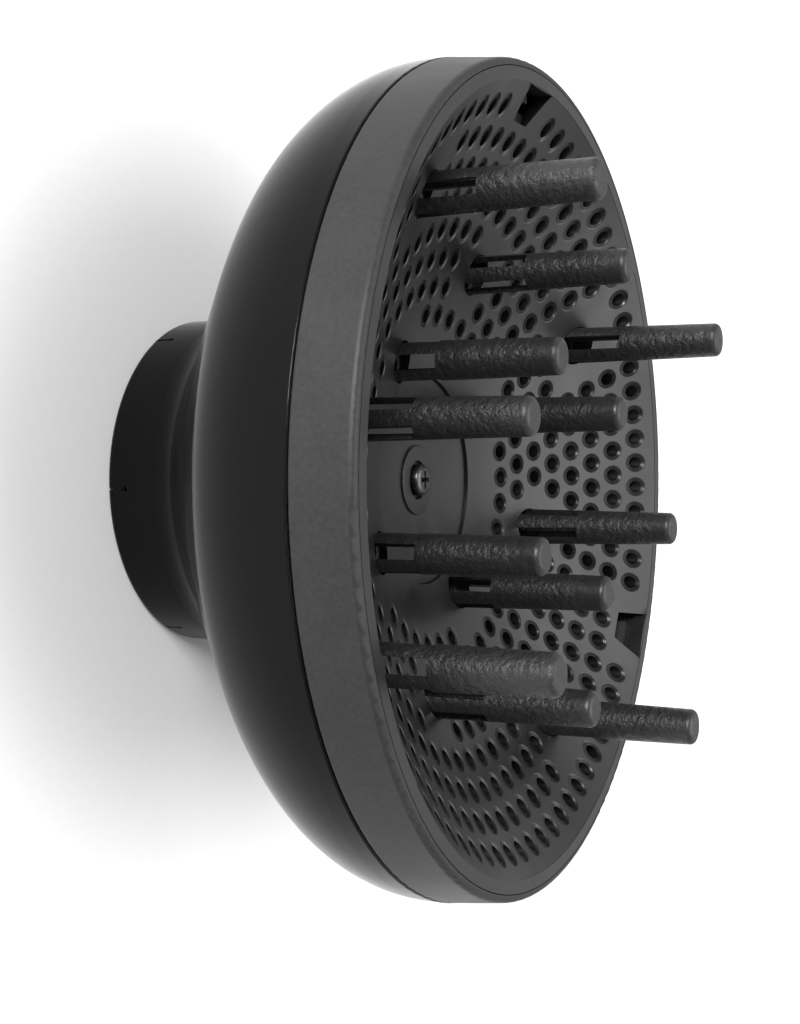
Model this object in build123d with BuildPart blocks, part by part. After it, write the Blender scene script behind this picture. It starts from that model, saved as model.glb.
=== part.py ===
from build123d import *
import os
from math import asin, atan2, cos, degrees, hypot, radians, sin, sqrt, tan

# A diffuser for a hand-held hair dryer.
# The axis is Z.  The origin is the centre of the collar's rear face, so the part
# stands on its collar with the perforated dish and the fingers upwards.

# Clearances, mm
plug_gap = 0.15        # round a piece that plugs into another
thread_gap = 0.05      # round the screw's shank in the guide's boss
seam_round = 0.4       # edge rounding on both sides of the band's rear seam

# Nozzle collar
collar_radius = 30.2
collar_bore = 27.5           # radius of the bore that takes the dryer's nozzle
collar_height = 9.5          # the part that stays in sight
collar_edge_round = 1.1
spigot_wall = 1.3
spigot_height = 6.0          # how far it plugs into the bell
slit_count = 6
slit_start = 32.0            # degrees
slit_length = 4.0
slit_width = 0.5
slit_end_radius = 0.45

# Bell shell
bell_radius = 71.4
bell_wall = 2.0
bell_height = 60.1           # mouth above the collar's rear face
shoulder_radius = 21.9       # radius of the curve that ends the flare
shoulder_drop = 3.1          # straight wall between that curve and the mouth
cove_rise = 4.3              # height of the hollow curve above the collar
ledge_radius = 26.0          # inner edge of the ledge that holds the air guide
ledge_thick = 1.6

# Rim band
band_radius = 71.3           # at its rear edge
band_front_radius = 70.2     # just behind the rounded front edge
band_wall = 2.3
band_web = 1.8               # thickness of the web that sits on the bell's mouth
band_plug_wall = 1.7
band_plug_depth = 5.5        # how far its inner skirt goes into the bell
band_front_round = 1.0

# Dish plate
lip_height = 69.5            # front lip above the collar's rear face
dish_depth = 24.0            # centre of the dish below the lip
dish_sphere = 105.0          # radius of its front surface
dish_wall = 2.0
dish_opening = 66.7          # inner radius of the flat lip
dish_skirt = 1.7

# Air holes
ring_pitch = 4.83            # between rings of holes
first_ring = 6               # ring k has radius k * ring_pitch and 6 * k holes
last_ring = 13
hole_radius = 1.25
hole_margin = 0.75           # solid left between a hole and a socket, a window or the hub

# Catch windows and the band's catches
window_count = 3
window_start = 60.0          # degrees
window_inner = 61.2          # radius of the narrow end
window_outer = 66.5          # radius of the wide end
window_inner_width = 5.6
window_outer_width = 9.8
catch_width = 5.0
catch_thick = 1.3
catch_barb = 0.7
catch_bar = 1.2              # thickness of the dish's lug that the barb holds
catch_bar_rise = 1.3         # that lug above the band's web
catch_barb_height = 1.1
lug_root = 0.4               # how far a lug and a catch's foot reach into the wall behind

# Fingers
finger_length = 29.1         # from the dish's surface to the tip
finger_bore = 2.3
finger_tip_wall = 3.0
finger_tip_round = 1.1
finger_flange_radius = 4.9
finger_flange = 1.3
socket_radius = 5.4
socket_depth = 5.5           # seat of the flange below the dish's surface
finger_slots = 4
slot_width = 2.6
slot_sink = 2.0              # how far a slot starts below the dish's surface

# Each row: name, radius of the row, its first angle, base and tip radius of its fingers,
# and height of their slots above the dish
finger_rows = [
    ("outer", 52.5, 30.0, 3.6, 3.2, 10.0),
    ("middle", 38.3, 75.0, 3.45, 3.0, 10.6),
    ("inner", 23.4, 30.0, 3.5, 3.1, 7.6),
]
fingers_per_row = 4

# Turn of each finger's slots from the outward direction, degrees: the fingers aren't keyed
slot_turns = {
    "outer": [55, 55, 58, 51],
    "middle": [37, 67, 59, 69],
    "inner": [39, 55, 66, 51],
}

# Hub disc and screw
hub_radius = 18.4
hub_thick = 1.6              # at its centre
hub_sink = 0.6               # its face below the dish's surface, whose curve it follows
hub_ring_radius = 6.2        # raised ring round the screw
hub_ring_height = 0.45
counterbore_radius = 3.4
screw_seat = 1.4             # thickness of the counterbore's floor
screw_head_radius = 2.8
screw_head_height = 2.2
screw_radius = 1.5
screw_length = 10.0
screw_head_round = 0.9
screw_point = 0.5            # chamfer at the screw's end
screw_point_room = 1.0       # hole left under the screw's end
cross_width = 0.8
cross_length = 3.2
cross_depth = 1.3
cross_taper = 10.0           # degrees

# Air guide
guide_ring_width = 2.2
guide_ring_height = 3.0
guide_spokes = 4
spoke_start = 45.0           # degrees
spoke_width = 2.0
spoke_rise = 8.0             # how far a web climbs the boss above the ring
guide_boss_radius = 4.5
cone_radius = 15.0
cone_height = 8.0
cone_wall = 1.6
cone_top_gap = 5.0           # top of the cone below the boss's top

# Worked out
centre_z = lip_height - dish_depth
sphere_z = centre_z + dish_sphere
spigot_radius = collar_bore + spigot_wall
neck_radius = spigot_radius + plug_gap
spigot_top = collar_height + spigot_height
ledge_z = spigot_top + guide_ring_height
bell_inner = bell_radius - bell_wall
band_plug_radius = bell_inner - plug_gap
band_plug_inner = band_plug_radius - band_plug_wall
web_top = bell_height + band_web
skirt_radius = band_radius - band_wall - plug_gap
skirt_inner = skirt_radius - dish_skirt
hub_floor_z = centre_z - hub_sink - hub_thick
recess_radius = hub_radius + plug_gap
hub_hole = guide_boss_radius + plug_gap
pad_radius = recess_radius + dish_wall
pad_z = hub_floor_z - dish_wall
screw_seat_z = hub_floor_z + screw_seat

# The flare: a straight cone, tangent to the shoulder's curve and to the cove
cove_z = collar_height + cove_rise
curve_r = bell_radius - shoulder_radius
curve_z = bell_height - shoulder_drop
flare_span = hypot(curve_r - collar_radius, curve_z - cove_z)
flare = atan2(curve_r - collar_radius, curve_z - cove_z) + asin(shoulder_radius / flare_span)
along = Vector(sin(flare), cos(flare))


def curve_point(radius, angle):
    """A point of the shoulder's section, with the angle measured up from its outermost side."""
    return (curve_r + radius * cos(angle), curve_z + radius * sin(angle))


def surface_z(radius, depth=0.0):
    """Height of the dish's front surface, or of a surface that lies deeper."""
    return sphere_z - sqrt((dish_sphere + depth) ** 2 - radius**2)


def hole_places():
    """Centres of the air holes: staggered rings, less those in the way of other features."""
    sockets = []
    for name, row_radius, row_start, base_radius, tip_radius, slot_height in finger_rows:
        for index in range(fingers_per_row):
            angle = radians(row_start + index * 360 / fingers_per_row)
            sockets.append((row_radius * cos(angle), row_radius * sin(angle)))
    places = []
    for ring in range(first_ring, last_ring + 1):
        count = 6 * ring
        for index in range(count):
            angle = radians(90 + (index + ring % 2 / 2) * 360 / count)
            x = ring * ring_pitch * cos(angle)
            y = ring * ring_pitch * sin(angle)
            near_socket = min(hypot(x - sx, y - sy) for sx, sy in sockets)
            if near_socket < socket_radius + hole_radius + hole_margin:
                continue
            if window_distance(x, y) < hole_radius + hole_margin:
                continue
            places.append((x, y))
    return places


def window_distance(x, y):
    """How far a point lies outside the nearest catch window."""
    step = 360 / window_count
    turn_back = radians((degrees(atan2(y, x)) - window_start + step / 2) % step - step / 2)
    out = hypot(x, y) * cos(turn_back)
    across_window = abs(hypot(x, y) * sin(turn_back))
    share = (out - window_inner) / (window_outer - window_inner)
    half_width = (window_inner_width + share * (window_outer_width - window_inner_width)) / 2
    return max(window_inner - out, across_window - half_width)


def finish(part, name):
    """Name a finished piece and write it out."""
    part.label = name
    export_step(part, f"parts/{name}.step")


os.makedirs("parts", exist_ok=True)

# Nozzle collar: a ring with a spigot, slit from the rear into spring tongues
with BuildPart() as nozzle_collar:
    with BuildSketch(Plane.XZ):
        with BuildLine():
            Polyline(
                (collar_bore, 0),
                (collar_radius, 0),
                (collar_radius, collar_height),
                (spigot_radius, collar_height),
                (spigot_radius, spigot_top),
                (collar_bore, spigot_top),
                close=True,
            )
        make_face()
    revolve(axis=Axis.Z)
    rear_edges = nozzle_collar.edges().group_by(Axis.Z)[0]
    fillet(rear_edges.sort_by(SortBy.LENGTH)[-1], collar_edge_round)
    with BuildSketch(Plane.XY):
        with PolarLocations(collar_radius, slit_count, slit_start):
            Rectangle(3 * (collar_radius - collar_bore), slit_width)
    extrude(amount=slit_length, mode=Mode.SUBTRACT)
    for index in range(slit_count):
        slit_angle = slit_start + index * 360 / slit_count
        side = Plane(
            origin=(0, 0, slit_length),
            x_dir=(0, 0, 1),
            z_dir=(cos(radians(slit_angle)), sin(radians(slit_angle)), 0),
        )
        with BuildSketch(side):
            Circle(slit_end_radius)
        extrude(amount=collar_radius + 1, mode=Mode.SUBTRACT)
finish(nozzle_collar.part, "nozzle_collar")

# Bell shell: cove, cone and shoulder outside, an even wall inside, a ledge above the neck
ledge_top = ledge_z + ledge_thick
inner_start = collar_radius + (ledge_top - cove_z) * tan(flare) - bell_wall / cos(flare)
with BuildPart() as bell_shell:
    with BuildSketch(Plane.XZ):
        with BuildLine():
            cove_end = Vector(collar_radius, cove_z) + along * cove_rise
            cove = TangentArc((collar_radius, collar_height), (cove_end.X, cove_end.Y), tangent=(0, 1))
            flare_end = curve_point(shoulder_radius, -flare)
            Line(cove @ 1, flare_end)
            shoulder = TangentArc(flare_end, (bell_radius, curve_z), tangent=(along.X, along.Y))
            Line(shoulder @ 1, (bell_radius, bell_height))
            Line((bell_radius, bell_height), (bell_inner, bell_height))
            Line((bell_inner, bell_height), (bell_inner, curve_z))
            inner_end = curve_point(shoulder_radius - bell_wall, -flare)
            TangentArc((bell_inner, curve_z), inner_end, tangent=(0, -1))
            Line(inner_end, (inner_start, ledge_top))
            Line((inner_start, ledge_top), (ledge_radius, ledge_top))
            Line((ledge_radius, ledge_top), (ledge_radius, ledge_z))
            Line((ledge_radius, ledge_z), (neck_radius, ledge_z))
            Line((neck_radius, ledge_z), (neck_radius, collar_height))
            Line((neck_radius, collar_height), (collar_radius, collar_height))
        make_face()
    revolve(axis=Axis.Z)
    mouth_edges = bell_shell.edges().group_by(Axis.Z)[-1]
    fillet(mouth_edges.sort_by(SortBy.LENGTH)[-1], seam_round)
finish(bell_shell.part, "bell_shell")

# Rim band: outer skin, a web on the bell's mouth, a skirt that plugs into the bell,
# and three catches that rise through the dish's windows
band_inner = skirt_radius + plug_gap
catch_outer = window_outer - plug_gap
catch_inner = catch_outer - catch_thick
catch_bar_z = web_top + catch_bar_rise
barb_z = catch_bar_z + catch_bar + plug_gap
catch_top = barb_z + catch_barb_height
with BuildPart() as rim_band:
    with BuildSketch(Plane.XZ):
        with BuildLine():
            Polyline(
                (band_radius, bell_height),
                (band_front_radius, lip_height),
                (band_inner, lip_height),
                (band_inner, web_top),
                (band_plug_inner, web_top),
                (band_plug_inner, bell_height - band_plug_depth),
                (band_plug_radius, bell_height - band_plug_depth),
                (band_plug_radius, bell_height),
                close=True,
            )
        make_face()
    revolve(axis=Axis.Z)
    front_edge = rim_band.edges().group_by(Axis.Z)[-1].sort_by(SortBy.LENGTH)[-1]
    fillet(front_edge, min(band_front_round, 0.9 * (band_front_radius - band_inner)))
    rear_edge = rim_band.edges().filter_by_position(Axis.Z, bell_height, bell_height)
    fillet(rear_edge.sort_by(SortBy.LENGTH)[-1], seam_round)
    # Foot of each catch, then its tongue, then its barb
    with BuildSketch(Plane.XY.offset(bell_height)):
        with PolarLocations(0, window_count, window_start):
            with Locations(((catch_inner + band_plug_inner + lug_root) / 2, 0)):
                Rectangle(band_plug_inner + lug_root - catch_inner, catch_width)
    extrude(amount=band_web)
    with BuildSketch(Plane.XY.offset(web_top)):
        with PolarLocations(0, window_count, window_start):
            with Locations(((catch_inner + catch_outer) / 2, 0)):
                Rectangle(catch_thick, catch_width)
    extrude(amount=catch_top - web_top)
    with BuildSketch(Plane.XY.offset(barb_z)):
        with PolarLocations(0, window_count, window_start):
            with Locations((catch_outer + catch_barb / 2, 0)):
                Rectangle(catch_barb, catch_width)
    extrude(amount=catch_barb_height)
finish(rim_band.part, "rim_band")

# Dish plate: a perforated bowl with a flat lip and a skirt that stands on the band's web
with BuildPart() as dish_plate:
    with BuildSketch(Plane.XZ):
        with BuildLine():
            mid_radius = dish_opening / 2
            lip_join = (dish_opening, surface_z(dish_opening))
            back_join = (skirt_inner, surface_z(skirt_inner, dish_wall))
            pad_join = (pad_radius, surface_z(pad_radius, dish_wall))
            recess_edge = (recess_radius, surface_z(recess_radius))
            ThreePointArc(recess_edge, (mid_radius, surface_z(mid_radius)), lip_join)
            Polyline(
                lip_join,
                (dish_opening, lip_height),
                (skirt_radius, lip_height),
                (skirt_radius, web_top),
                (skirt_inner, web_top),
                back_join,
            )
            ThreePointArc(back_join, (mid_radius, surface_z(mid_radius, dish_wall)), pad_join)
            Polyline(
                pad_join,
                (pad_radius, pad_z),
                (hub_hole, pad_z),
                (hub_hole, hub_floor_z),
                (recess_radius, hub_floor_z),
                recess_edge,
            )
        make_face()
    revolve(axis=Axis.Z)
    # Bosses behind the dish, each with a flat seat for a finger's flange
    for name, row_radius, row_start, base_radius, tip_radius, slot_height in finger_rows:
        seat_z = surface_z(row_radius) - socket_depth
        with BuildSketch(Plane.XY.offset(seat_z)):
            with PolarLocations(row_radius, fingers_per_row, row_start):
                Circle(socket_radius)
        extrude(until=Until.NEXT)
    # Lugs on the skirt that the band's catches hold
    with BuildSketch(Plane.XY.offset(catch_bar_z)):
        with PolarLocations(0, window_count, window_start):
            with Locations(((window_outer + skirt_inner + lug_root) / 2, 0)):
                Rectangle(skirt_inner + lug_root - window_outer, catch_width)
    extrude(amount=catch_bar)
    # Windows above the lugs
    with BuildSketch(Plane.XY.offset(catch_bar_z + catch_bar)):
        with PolarLocations(0, window_count, window_start):
            Polygon(
                (window_inner, -window_inner_width / 2),
                (window_outer, -window_outer_width / 2),
                (window_outer, window_outer_width / 2),
                (window_inner, window_inner_width / 2),
                align=None,
            )
    extrude(amount=lip_height, both=False, mode=Mode.SUBTRACT)
    # Sockets for the fingers, and room for their flanges behind the seats
    for name, row_radius, row_start, base_radius, tip_radius, slot_height in finger_rows:
        with BuildSketch(Plane.XY):
            with PolarLocations(row_radius, fingers_per_row, row_start):
                Circle(base_radius + plug_gap)
        extrude(amount=lip_height, mode=Mode.SUBTRACT)
        with BuildSketch(Plane.XY):
            with PolarLocations(row_radius, fingers_per_row, row_start):
                Circle(finger_flange_radius + plug_gap)
        extrude(amount=surface_z(row_radius) - socket_depth, mode=Mode.SUBTRACT)
    # Air holes
    with BuildSketch(Plane.XY.offset(pad_z)):
        with Locations(*hole_places()):
            Circle(hole_radius)
    extrude(amount=lip_height, mode=Mode.SUBTRACT)
finish(dish_plate.part, "dish_plate")

# Fingers: hollow, closed at the tip, slit at the base and flanged behind the dish
for name, row_radius, row_start, base_radius, tip_radius, slot_height in finger_rows:
    for index in range(fingers_per_row):
        angle = row_start + index * 360 / fingers_per_row
        outward = Vector(cos(radians(angle)), sin(radians(angle)), 0)
        foot = outward * row_radius + Vector(0, 0, surface_z(row_radius) - socket_depth)
        section = Plane(origin=foot, x_dir=outward, z_dir=outward.cross(Vector(0, 0, 1)))
        top = socket_depth + finger_length
        with BuildPart() as finger:
            with BuildSketch(section):
                with BuildLine():
                    Polyline(
                        (finger_bore, -finger_flange),
                        (finger_flange_radius, -finger_flange),
                        (finger_flange_radius, 0),
                        (base_radius, 0),
                        (base_radius, socket_depth),
                        (tip_radius, top),
                        (0, top),
                        (0, top - finger_tip_wall),
                        (finger_bore, top - finger_tip_wall),
                        close=True,
                    )
                make_face()
            revolve(axis=Axis(foot, (0, 0, 1)))
            fillet(finger.edges().group_by(Axis.Z)[-1], finger_tip_round)
            slot_plane = Plane(origin=foot, x_dir=outward, z_dir=(0, 0, 1))
            with BuildSketch(slot_plane.offset(socket_depth - slot_sink)):
                with PolarLocations(0, finger_slots, slot_turns[name][index]):
                    with Locations((base_radius, 0)):
                        Rectangle(2 * base_radius, slot_width)
            extrude(amount=slot_sink + slot_height, mode=Mode.SUBTRACT)
        finish(finger.part, f"finger_{name}_{index + 1}")

# Hub disc: covers the middle of the dish and carries the screw's head
screw_hole = screw_radius + plug_gap
ring_foot_z = surface_z(hub_ring_radius) - hub_sink
hub_ring_z = ring_foot_z + hub_ring_height
with BuildPart() as hub_disc:
    with BuildSketch(Plane.XZ):
        with BuildLine():
            face_middle = (hub_ring_radius + hub_radius) / 2
            face_edge = (hub_radius, surface_z(hub_radius) - hub_sink)
            ring_foot = (hub_ring_radius, ring_foot_z)
            ThreePointArc(face_edge, (face_middle, surface_z(face_middle) - hub_sink), ring_foot)
            Polyline(
                ring_foot,
                (hub_ring_radius, hub_ring_z),
                (counterbore_radius, hub_ring_z),
                (counterbore_radius, screw_seat_z),
                (screw_hole, screw_seat_z),
                (screw_hole, hub_floor_z),
                (hub_radius, hub_floor_z),
                face_edge,
            )
        make_face()
    revolve(axis=Axis.Z)
    ring_edges = hub_disc.edges().filter_by_position(Axis.Z, hub_ring_z, hub_ring_z)
    fillet(ring_edges, 0.4 * hub_ring_height)
finish(hub_disc.part, "hub_disc")

# Hub screw: pan head with a cross recess
with BuildPart() as hub_screw:
    with BuildSketch(Plane.XY.offset(screw_seat_z)):
        Circle(screw_head_radius)
    extrude(amount=screw_head_height)
    fillet(hub_screw.edges().group_by(Axis.Z)[-1], screw_head_round)
    with BuildSketch(Plane.XY.offset(screw_seat_z)):
        Circle(screw_radius)
    extrude(amount=-screw_length)
    chamfer(hub_screw.edges().group_by(Axis.Z)[0], screw_point)
    with BuildSketch(Plane.XY.offset(screw_seat_z + screw_head_height)):
        Rectangle(cross_length, cross_width)
        Rectangle(cross_width, cross_length)
    extrude(amount=-cross_depth, taper=cross_taper, mode=Mode.SUBTRACT)
finish(hub_screw.part, "hub_screw")

# Air guide: a ring under the bell's ledge, four webs, a boss for the screw and a cone
guide_ring_radius = neck_radius - plug_gap
guide_ring_inner = guide_ring_radius - guide_ring_width
web_step = ledge_radius - plug_gap
cone_top = hub_floor_z - cone_top_gap
cone_foot = cone_top - cone_wall - cone_height
with BuildPart() as air_guide:
    with BuildSketch(Plane.XY.offset(spigot_top)):
        Circle(guide_ring_radius)
        Circle(guide_ring_inner, mode=Mode.SUBTRACT)
    extrude(amount=guide_ring_height)
    with BuildSketch(Plane.XY.offset(spigot_top)):
        Circle(guide_boss_radius)
    extrude(amount=hub_floor_z - spigot_top)
    for index in range(guide_spokes):
        with BuildSketch(Plane.XZ.rotated((0, 0, spoke_start + index * 360 / guide_spokes))):
            Polygon(
                (guide_boss_radius / 2, spigot_top),
                (guide_ring_inner + guide_ring_width / 2, spigot_top),
                (guide_ring_inner + guide_ring_width / 2, ledge_z),
                (web_step, ledge_z),
                (guide_boss_radius / 2, ledge_z + spoke_rise),
                align=None,
            )
        extrude(amount=spoke_width / 2, both=True)
    with BuildSketch(Plane.XZ):
        Polygon(
            (guide_boss_radius / 2, cone_foot),
            (guide_boss_radius, cone_foot),
            (cone_radius, cone_top - cone_wall),
            (cone_radius, cone_top),
            (guide_boss_radius, cone_foot + cone_wall),
            (guide_boss_radius / 2, cone_foot + cone_wall),
            align=None,
        )
    revolve(axis=Axis.Z)
    with BuildSketch(Plane.XY.offset(hub_floor_z)):
        Circle(screw_radius + thread_gap)
    extrude(amount=-(screw_length - screw_seat + screw_point_room), mode=Mode.SUBTRACT)
finish(air_guide.part, "air_guide")
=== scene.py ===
from math import pi, radians

import bpy
from mathutils import Matrix, Vector

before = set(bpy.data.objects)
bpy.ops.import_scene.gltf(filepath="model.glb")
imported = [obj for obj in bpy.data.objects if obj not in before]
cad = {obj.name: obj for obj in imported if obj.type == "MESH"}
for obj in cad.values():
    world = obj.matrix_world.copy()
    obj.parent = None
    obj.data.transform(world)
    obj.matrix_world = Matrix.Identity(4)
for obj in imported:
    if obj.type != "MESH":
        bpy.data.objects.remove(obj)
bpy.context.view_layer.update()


def srgb(code):
    """Linear colour from an sRGB hex code."""
    shares = [int(code[start : start + 2], 16) / 255 for start in (1, 3, 5)]
    return (*(c / 12.92 if c <= 0.04045 else ((c + 0.055) / 1.055) ** 2.4 for c in shares), 1.0)


def add(tree, kind, inputs=None, **settings):
    """Add one node, with its settings, and with values or other nodes' sockets in its inputs."""
    node = tree.nodes.new(kind)
    for key, value in settings.items():
        setattr(node, key, value)
    for key, value in (inputs or {}).items():
        value = value.outputs[0] if isinstance(value, bpy.types.Node) else value
        if isinstance(value, bpy.types.NodeSocket):
            tree.links.new(value, node.inputs[key])
        else:
            node.inputs[key].default_value = value
    return node


def new_material(name):
    """An empty material: its node tree, its shader and its object coordinates."""
    material = bpy.data.materials.new(name)
    material.use_nodes = True
    tree = material.node_tree
    place = add(tree, "ShaderNodeTexCoord").outputs["Object"]
    return material, tree, tree.nodes["Principled BSDF"], place


def fill(tree, node, **inputs):
    """Fill a shader's inputs with values or with other nodes' sockets."""
    for key, value in inputs.items():
        socket = node.inputs[key.replace("_", " ")]
        if isinstance(value, bpy.types.NodeSocket):
            tree.links.new(value, socket)
        else:
            socket.default_value = value


def dress(node, material):
    """Give a CAD node its visual material."""
    cad[node].material_slots[0].material = material


# Bell shell and nozzle collar: black ABS, injection moulded in a polished cavity.
# Faint waviness of the moulding, dust-fine pits, and smudges where hands hold it.
gloss_abs, tree, shader, place = new_material("gloss_black_abs_polished_mould")
smudge = add(tree, "ShaderNodeTexNoise", {"Vector": place, "Scale": 1 / 0.022, "Detail": 3.0})
gloss = add(
    tree,
    "ShaderNodeMapRange",
    {"Value": smudge.outputs["Fac"], "From Min": 0.35, "From Max": 0.7, "To Min": 0.13, "To Max": 0.24},
)
shade = add(
    tree,
    "ShaderNodeMix",
    {"Factor": smudge.outputs["Fac"], 6: srgb("#0a0a0b"), 7: srgb("#101011")},
    data_type="RGBA",
)
peel = add(tree, "ShaderNodeTexNoise", {"Vector": place, "Scale": 1 / 0.006, "Detail": 1.0})
pits = add(tree, "ShaderNodeTexNoise", {"Vector": place, "Scale": 1 / 0.0004, "Detail": 2.0})
wavy = add(tree, "ShaderNodeBump", {"Height": peel.outputs["Fac"], "Strength": 0.25, "Distance": 0.00004})
fine = add(
    tree,
    "ShaderNodeBump",
    {"Height": pits.outputs["Fac"], "Strength": 0.12, "Distance": 0.000008, "Normal": wavy.outputs[0]},
)
fill(
    tree,
    shader,
    Base_Color=shade.outputs[2],
    Roughness=gloss.outputs["Result"],
    Specular_IOR_Level=0.08,
    Normal=fine.outputs[0],
)
dress("bell_shell", gloss_abs)
dress("nozzle_collar", gloss_abs)

# Rim band: the same ABS under a satin soft-touch lacquer, snapped over the bell's mouth.
# The lacquer dries with a fine speckle.
soft_lacquer, tree, shader, place = new_material("satin_soft_touch_lacquer")
speckle = add(tree, "ShaderNodeTexNoise", {"Vector": place, "Scale": 1 / 0.0007, "Detail": 3.0})
cloud = add(tree, "ShaderNodeTexNoise", {"Vector": place, "Scale": 1 / 0.012, "Detail": 2.0})
both = add(
    tree,
    "ShaderNodeMath",
    {0: speckle.outputs["Fac"], 1: cloud.outputs["Fac"]},
    operation="ADD",
)
share = add(
    tree,
    "ShaderNodeMapRange",
    {"Value": both.outputs[0], "From Min": 0.75, "From Max": 1.25},
)
tone = add(
    tree,
    "ShaderNodeMix",
    {"Factor": share.outputs["Result"], 6: srgb("#202021"), 7: srgb("#2b2b2c")},
    data_type="RGBA",
)
satin = add(
    tree,
    "ShaderNodeMapRange",
    {"Value": cloud.outputs["Fac"], "From Min": 0.3, "From Max": 0.7, "To Min": 0.44, "To Max": 0.54},
)
grain = add(tree, "ShaderNodeBump", {"Height": speckle.outputs["Fac"], "Strength": 0.35, "Distance": 0.00006})
fill(
    tree,
    shader,
    Base_Color=tone.outputs[2],
    Roughness=satin.outputs["Result"],
    Specular_IOR_Level=0.3,
    Normal=grain.outputs[0],
)
dress("rim_band", soft_lacquer)

# Dish plate and hub disc: black glass-filled nylon that stands the hot air, moulded matte.
# The plate is one moulding with its lip, skirt, finger sockets, windows and air holes.
matte_nylon, tree, shader, place = new_material("matte_black_nylon_moulded")
texture = add(tree, "ShaderNodeTexNoise", {"Vector": place, "Scale": 1 / 0.0005, "Detail": 3.0})
flow = add(tree, "ShaderNodeTexNoise", {"Vector": place, "Scale": 1 / 0.009, "Detail": 2.0})
tint = add(
    tree,
    "ShaderNodeMix",
    {"Factor": flow.outputs["Fac"], 6: srgb("#111112"), 7: srgb("#1a1a1b")},
    data_type="RGBA",
)
dull = add(
    tree,
    "ShaderNodeMapRange",
    {"Value": flow.outputs["Fac"], "From Min": 0.3, "From Max": 0.7, "To Min": 0.3, "To Max": 0.42},
)
bumps = add(tree, "ShaderNodeBump", {"Height": texture.outputs["Fac"], "Strength": 0.3, "Distance": 0.00005})

# Each air hole has a dished entry 4.2 mm across. Rings of holes lie 4.83 mm apart, ring k has
# 6k holes, every other ring is staggered, and none lies in the way of a finger or a window.
pitch, entry_radius, hole_radius = 0.00483, 0.0021, 0.00125
split = add(tree, "ShaderNodeSeparateXYZ", {0: place})
flat = add(tree, "ShaderNodeCombineXYZ", {"X": split.outputs["X"], "Y": split.outputs["Y"]})
radius = add(tree, "ShaderNodeVectorMath", {0: flat}, operation="LENGTH").outputs["Value"]
rings_out = add(tree, "ShaderNodeMath", {0: radius, 1: pitch}, operation="DIVIDE")
ring = add(tree, "ShaderNodeMath", {0: rings_out}, operation="ROUND")
ring_radius = add(tree, "ShaderNodeMath", {0: ring, 1: pitch}, operation="MULTIPLY")
bearing = add(tree, "ShaderNodeMath", {0: split.outputs["Y"], 1: split.outputs["X"]}, operation="ARCTAN2")
from_top = add(tree, "ShaderNodeMath", {0: bearing, 1: pi / 2}, operation="SUBTRACT")
odd = add(tree, "ShaderNodeMath", {0: ring, 1: 2.0}, operation="MODULO")
stagger = add(tree, "ShaderNodeMath", {0: odd, 1: 2.0}, operation="DIVIDE")
swept = add(tree, "ShaderNodeMath", {0: from_top, 1: ring}, operation="MULTIPLY")
steps = add(tree, "ShaderNodeMath", {0: swept, 1: 3 / pi}, operation="MULTIPLY")
cell = add(tree, "ShaderNodeMath", {0: steps, 1: stagger}, operation="SUBTRACT")
nearest = add(tree, "ShaderNodeMath", {0: cell}, operation="ROUND")
past = add(tree, "ShaderNodeMath", {0: cell, 1: nearest}, operation="SUBTRACT")
along = add(tree, "ShaderNodeMath", {0: past, 1: pi / 3 * pitch}, operation="MULTIPLY")
outward = add(tree, "ShaderNodeMath", {0: radius, 1: ring_radius}, operation="SUBTRACT")
offset = add(tree, "ShaderNodeCombineXYZ", {"X": outward, "Y": along})
away = add(tree, "ShaderNodeVectorMath", {0: offset}, operation="LENGTH").outputs["Value"]
dish = add(
    tree,
    "ShaderNodeMapRange",
    {"Value": away, "From Min": hole_radius - 0.0002, "From Max": entry_radius},
    interpolation_type="SMOOTHSTEP",
)
place_in_ring = add(tree, "ShaderNodeMath", {0: nearest, 1: stagger}, operation="ADD")
part_of_ring = add(tree, "ShaderNodeMath", {0: place_in_ring, 1: ring}, operation="DIVIDE")
hole_angle = add(tree, "ShaderNodeMath", {0: part_of_ring, 1: pi / 3}, operation="MULTIPLY")
past_first = add(tree, "ShaderNodeMath", {0: ring, 1: 5.5}, operation="GREATER_THAN")
before_last = add(tree, "ShaderNodeMath", {0: ring, 1: 13.5}, operation="LESS_THAN")
kept = add(tree, "ShaderNodeMath", {0: past_first, 1: before_last}, operation="MULTIPLY")
for row_radius, first in ((0.0525, 30.0), (0.0383, 75.0), (0.0234, 30.0)):
    from_first = add(tree, "ShaderNodeMath", {0: hole_angle, 1: radians(90 - first)}, operation="ADD")
    swing = add(tree, "ShaderNodeMath", {0: from_first, 1: pi / 4, 2: -pi / 4}, operation="WRAP")
    cosine = add(tree, "ShaderNodeMath", {0: swing}, operation="COSINE")
    toward = add(tree, "ShaderNodeMath", {0: cosine, 1: ring_radius}, operation="MULTIPLY")
    reach = add(tree, "ShaderNodeMath", {0: toward, 1: 2 * row_radius}, operation="MULTIPLY")
    ring_square = add(tree, "ShaderNodeMath", {0: ring_radius, 1: ring_radius}, operation="MULTIPLY")
    squares = add(tree, "ShaderNodeMath", {0: ring_square, 1: row_radius**2}, operation="ADD")
    gap_square = add(tree, "ShaderNodeMath", {0: squares, 1: reach}, operation="SUBTRACT")
    clear = add(tree, "ShaderNodeMath", {0: gap_square, 1: 0.0074**2}, operation="GREATER_THAN")
    kept = add(tree, "ShaderNodeMath", {0: kept, 1: clear}, operation="MULTIPLY")
from_window = add(tree, "ShaderNodeMath", {0: hole_angle, 1: radians(30)}, operation="ADD")
swing = add(tree, "ShaderNodeMath", {0: from_window, 1: pi / 3, 2: -pi / 3}, operation="WRAP")
aside = add(tree, "ShaderNodeMath", {0: swing}, operation="ABSOLUTE")
beside_window = add(tree, "ShaderNodeMath", {0: aside, 1: 0.085}, operation="LESS_THAN")
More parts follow.
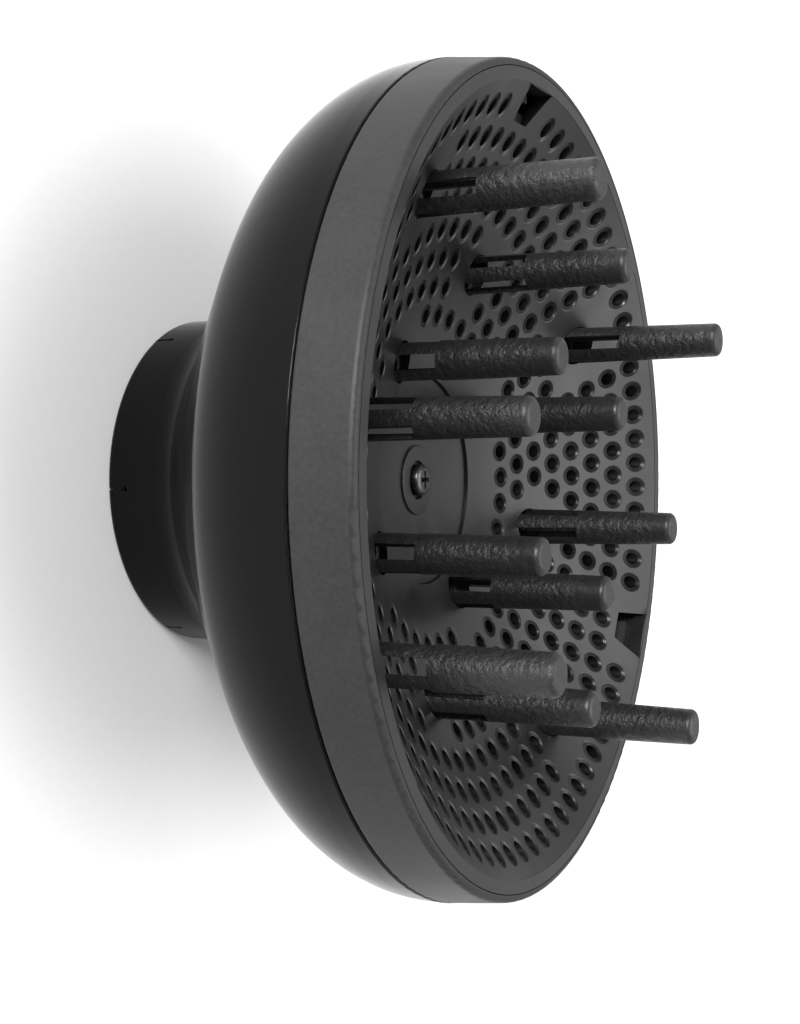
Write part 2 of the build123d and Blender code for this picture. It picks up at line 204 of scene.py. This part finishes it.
last_ring = add(tree, "ShaderNodeMath", {0: ring, 1: 12.5}, operation="GREATER_THAN")
at_window = add(tree, "ShaderNodeMath", {0: beside_window, 1: last_ring}, operation="MULTIPLY")
no_window = add(tree, "ShaderNodeMath", {0: 1.0, 1: at_window}, operation="SUBTRACT")
shown = add(tree, "ShaderNodeMath", {0: kept, 1: no_window}, operation="MULTIPLY")
sunk = add(tree, "ShaderNodeMath", {0: 1.0, 1: dish}, operation="SUBTRACT")
sunk_here = add(tree, "ShaderNodeMath", {0: shown, 1: sunk}, operation="MULTIPLY")
level = add(tree, "ShaderNodeMath", {0: 1.0, 1: sunk_here}, operation="SUBTRACT")
dished = add(tree, "ShaderNodeBump", {"Height": level, "Distance": 0.0008, "Normal": bumps.outputs[0]})
fill(
    tree,
    shader,
    Base_Color=tint.outputs[2],
    Roughness=dull.outputs["Result"],
    Specular_IOR_Level=0.5,
    Normal=dished.outputs[0],
)
dress("hub_disc", matte_nylon)
dress("dish_plate", matte_nylon)


# Fingers: soft black polypropylene, one moulding each, pressed into the dish from behind.
# Coarse spark-eroded grain down the sides, and smoother tips.
grained, tree, shader, place = new_material("grained_black_polypropylene")
from_ball = add(
    tree,
    "ShaderNodeVectorMath",
    {0: place, 1: (0.0, 0.0, 0.1505)},
    operation="DISTANCE",
)
rough_share = add(
    tree,
    "ShaderNodeMapRange",
    {"Value": from_ball.outputs["Value"], "From Min": 0.0795, "From Max": 0.083, "To Min": 0.2},
)
coarse = add(tree, "ShaderNodeTexNoise", {"Vector": place, "Scale": 1 / 0.0011, "Detail": 4.0, "Roughness": 0.6})
mottle = add(tree, "ShaderNodeTexNoise", {"Vector": place, "Scale": 1 / 0.003, "Detail": 2.0})
skin = add(
    tree,
    "ShaderNodeMix",
    {"Factor": mottle.outputs["Fac"], 6: srgb("#161617"), 7: srgb("#232324")},
    data_type="RGBA",
)
worn = add(
    tree,
    "ShaderNodeMapRange",
    {"Value": coarse.outputs["Fac"], "From Min": 0.35, "From Max": 0.65, "To Min": 0.34, "To Max": 0.5},
)
relief = add(
    tree,
    "ShaderNodeBump",
    {"Height": coarse.outputs["Fac"], "Strength": rough_share.outputs["Result"], "Distance": 0.00035},
)
fill(
    tree,
    shader,
    Base_Color=skin.outputs[2],
    Roughness=worn.outputs["Result"],
    Normal=relief.outputs[0],
)
for row in ("outer", "middle", "inner"):
    for index in range(4):
        dress(f"finger_{row}_{index + 1}", grained)

# Air guide: black nylon like the dish, plain from the mould, clamped under the bell's ledge.
# It only shows through the collar and the holes.
plain_nylon, tree, shader, place = new_material("plain_black_nylon")
cast = add(tree, "ShaderNodeTexNoise", {"Vector": place, "Scale": 1 / 0.0008, "Detail": 3.0})
body = add(
    tree,
    "ShaderNodeMix",
    {"Factor": cast.outputs["Fac"], 6: srgb("#1a1a1b"), 7: srgb("#242425")},
    data_type="RGBA",
)
ripple = add(tree, "ShaderNodeBump", {"Height": cast.outputs["Fac"], "Strength": 0.3, "Distance": 0.00006})
fill(tree, shader, Base_Color=body.outputs[2], Roughness=0.48, Normal=ripple.outputs[0])
dress("air_guide", plain_nylon)

# Hub screw: steel pan head with a cross recess, black zinc plated, rubbed bright by the driver.
# The plating is a little uneven, with fine turning marks round the head.
black_zinc, tree, shader, place = new_material("black_zinc_plated_steel")
patches = add(tree, "ShaderNodeTexNoise", {"Vector": place, "Scale": 1 / 0.0012, "Detail": 3.0})
plated = add(
    tree,
    "ShaderNodeMix",
    {"Factor": patches.outputs["Fac"], 6: srgb("#3c3c3e"), 7: srgb("#6a6a6c")},
    data_type="RGBA",
)
rings = add(
    tree,
    "ShaderNodeTexWave",
    {"Vector": place, "Scale": 1 / 0.0012, "Distortion": 0.4},
    wave_type="RINGS",
    rings_direction="Z",
)
turned = add(tree, "ShaderNodeBump", {"Height": rings.outputs["Fac"], "Strength": 0.15, "Distance": 0.00002})
fill(
    tree,
    shader,
    Base_Color=plated.outputs[2],
    Metallic=1.0,
    Roughness=0.34,
    Normal=turned.outputs[0],
)
dress("hub_screw", black_zinc)

def prism(outline, low, high):
    """Points and faces of an upright prism over an outline that runs anticlockwise, in mm."""
    count = len(outline)
    points = [(x, y, low) for x, y in outline] + [(x, y, high) for x, y in outline]
    faces = [tuple(reversed(range(count))), tuple(range(count, 2 * count))]
    for index in range(count):
        after = (index + 1) % count
        faces.append((index, after, count + after, count + index))
    return points, faces


def solid(name, parts):
    """One mesh object, in metres, from several lots of points and faces in mm."""
    points, faces = [], []
    for part_points, part_faces in parts:
        start = len(points)
        points += [(x / 1000, y / 1000, z / 1000) for x, y, z in part_points]
        faces += [tuple(start + corner for corner in face) for face in part_faces]
    mesh = bpy.data.meshes.new(name)
    mesh.from_pydata(points, [], faces)
    mesh.validate()
    mesh.update()
    made = bpy.data.objects.new(name, mesh)
    bpy.context.scene.collection.objects.link(made)
    return made


# Floor: plain matte white paper, wide enough to fill the picture.
floor_paper, tree, shader, place = new_material("white_paper_floor")
pulp = add(tree, "ShaderNodeTexNoise", {"Vector": place, "Scale": 1 / 0.002, "Detail": 2.0})
sheet = add(
    tree,
    "ShaderNodeMix",
    {"Factor": pulp.outputs["Fac"], 6: srgb("#f6f6f6"), 7: srgb("#fafafa")},
    data_type="RGBA",
)
fill(tree, shader, Base_Color=sheet.outputs[2], Roughness=0.9, Specular_IOR_Level=0.1)
floor = solid("floor", [prism([(-4000, -4000), (4000, -4000), (4000, 4000), (-4000, 4000)], -20.0, 0.0)])
floor.data.materials.append(floor_paper)

# Light: a soft frontal key from the upper left of the picture, a broad overhead panel that
# whitens the floor, and a plain pale surround.


def panel(name, place, aim, size, watts):
    """A square softbox at a place, turned towards a point."""
    data = bpy.data.lights.new(name, "AREA")
    data.shape = "SQUARE"
    data.size = size
    data.energy = watts
    lamp = bpy.data.objects.new(name, data)
    facing = (Vector(aim) - Vector(place)).to_track_quat("-Z", "Y")
    lamp.matrix_world = Matrix.Translation(place) @ facing.to_matrix().to_4x4()
    bpy.context.scene.collection.objects.link(lamp)


panel("key", (-0.42, -0.75, 0.34), (0, 0, 0.06), 0.3, 9.0)
panel("overhead", (0.0, 0.3, 1.5), (0, 0.25, 0), 1.6, 21.0)

surround = bpy.data.worlds.new("surround")
surround.use_nodes = True
sky = surround.node_tree.nodes["Background"]
sky.inputs["Color"].default_value = srgb("#ffffff")
sky.inputs["Strength"].default_value = 0.6
bpy.context.scene.world = surround

# Camera: looks across the open bowl from the front, rolled so that the axis lies level.
camera_data = bpy.data.cameras.new("camera")
camera_data.lens = 51.96
camera_data.shift_y = -0.03125
camera_data.clip_start = 0.01
camera = bpy.data.objects.new("camera", camera_data)
right = Vector((0.00764, 0.43749, 0.8992)).normalized()
forward = Vector((0.01569, 0.89905, -0.4376)).normalized()
upward = right.cross(forward).normalized()
turn = Matrix((right, upward, -forward)).transposed()
camera.matrix_world = Matrix.Translation((-0.00416, -0.23832, 0.15789)) @ turn.to_4x4()
bpy.context.scene.collection.objects.link(camera)
bpy.context.scene.camera = camera
bpy.context.scene.view_settings.view_transform = "Standard"
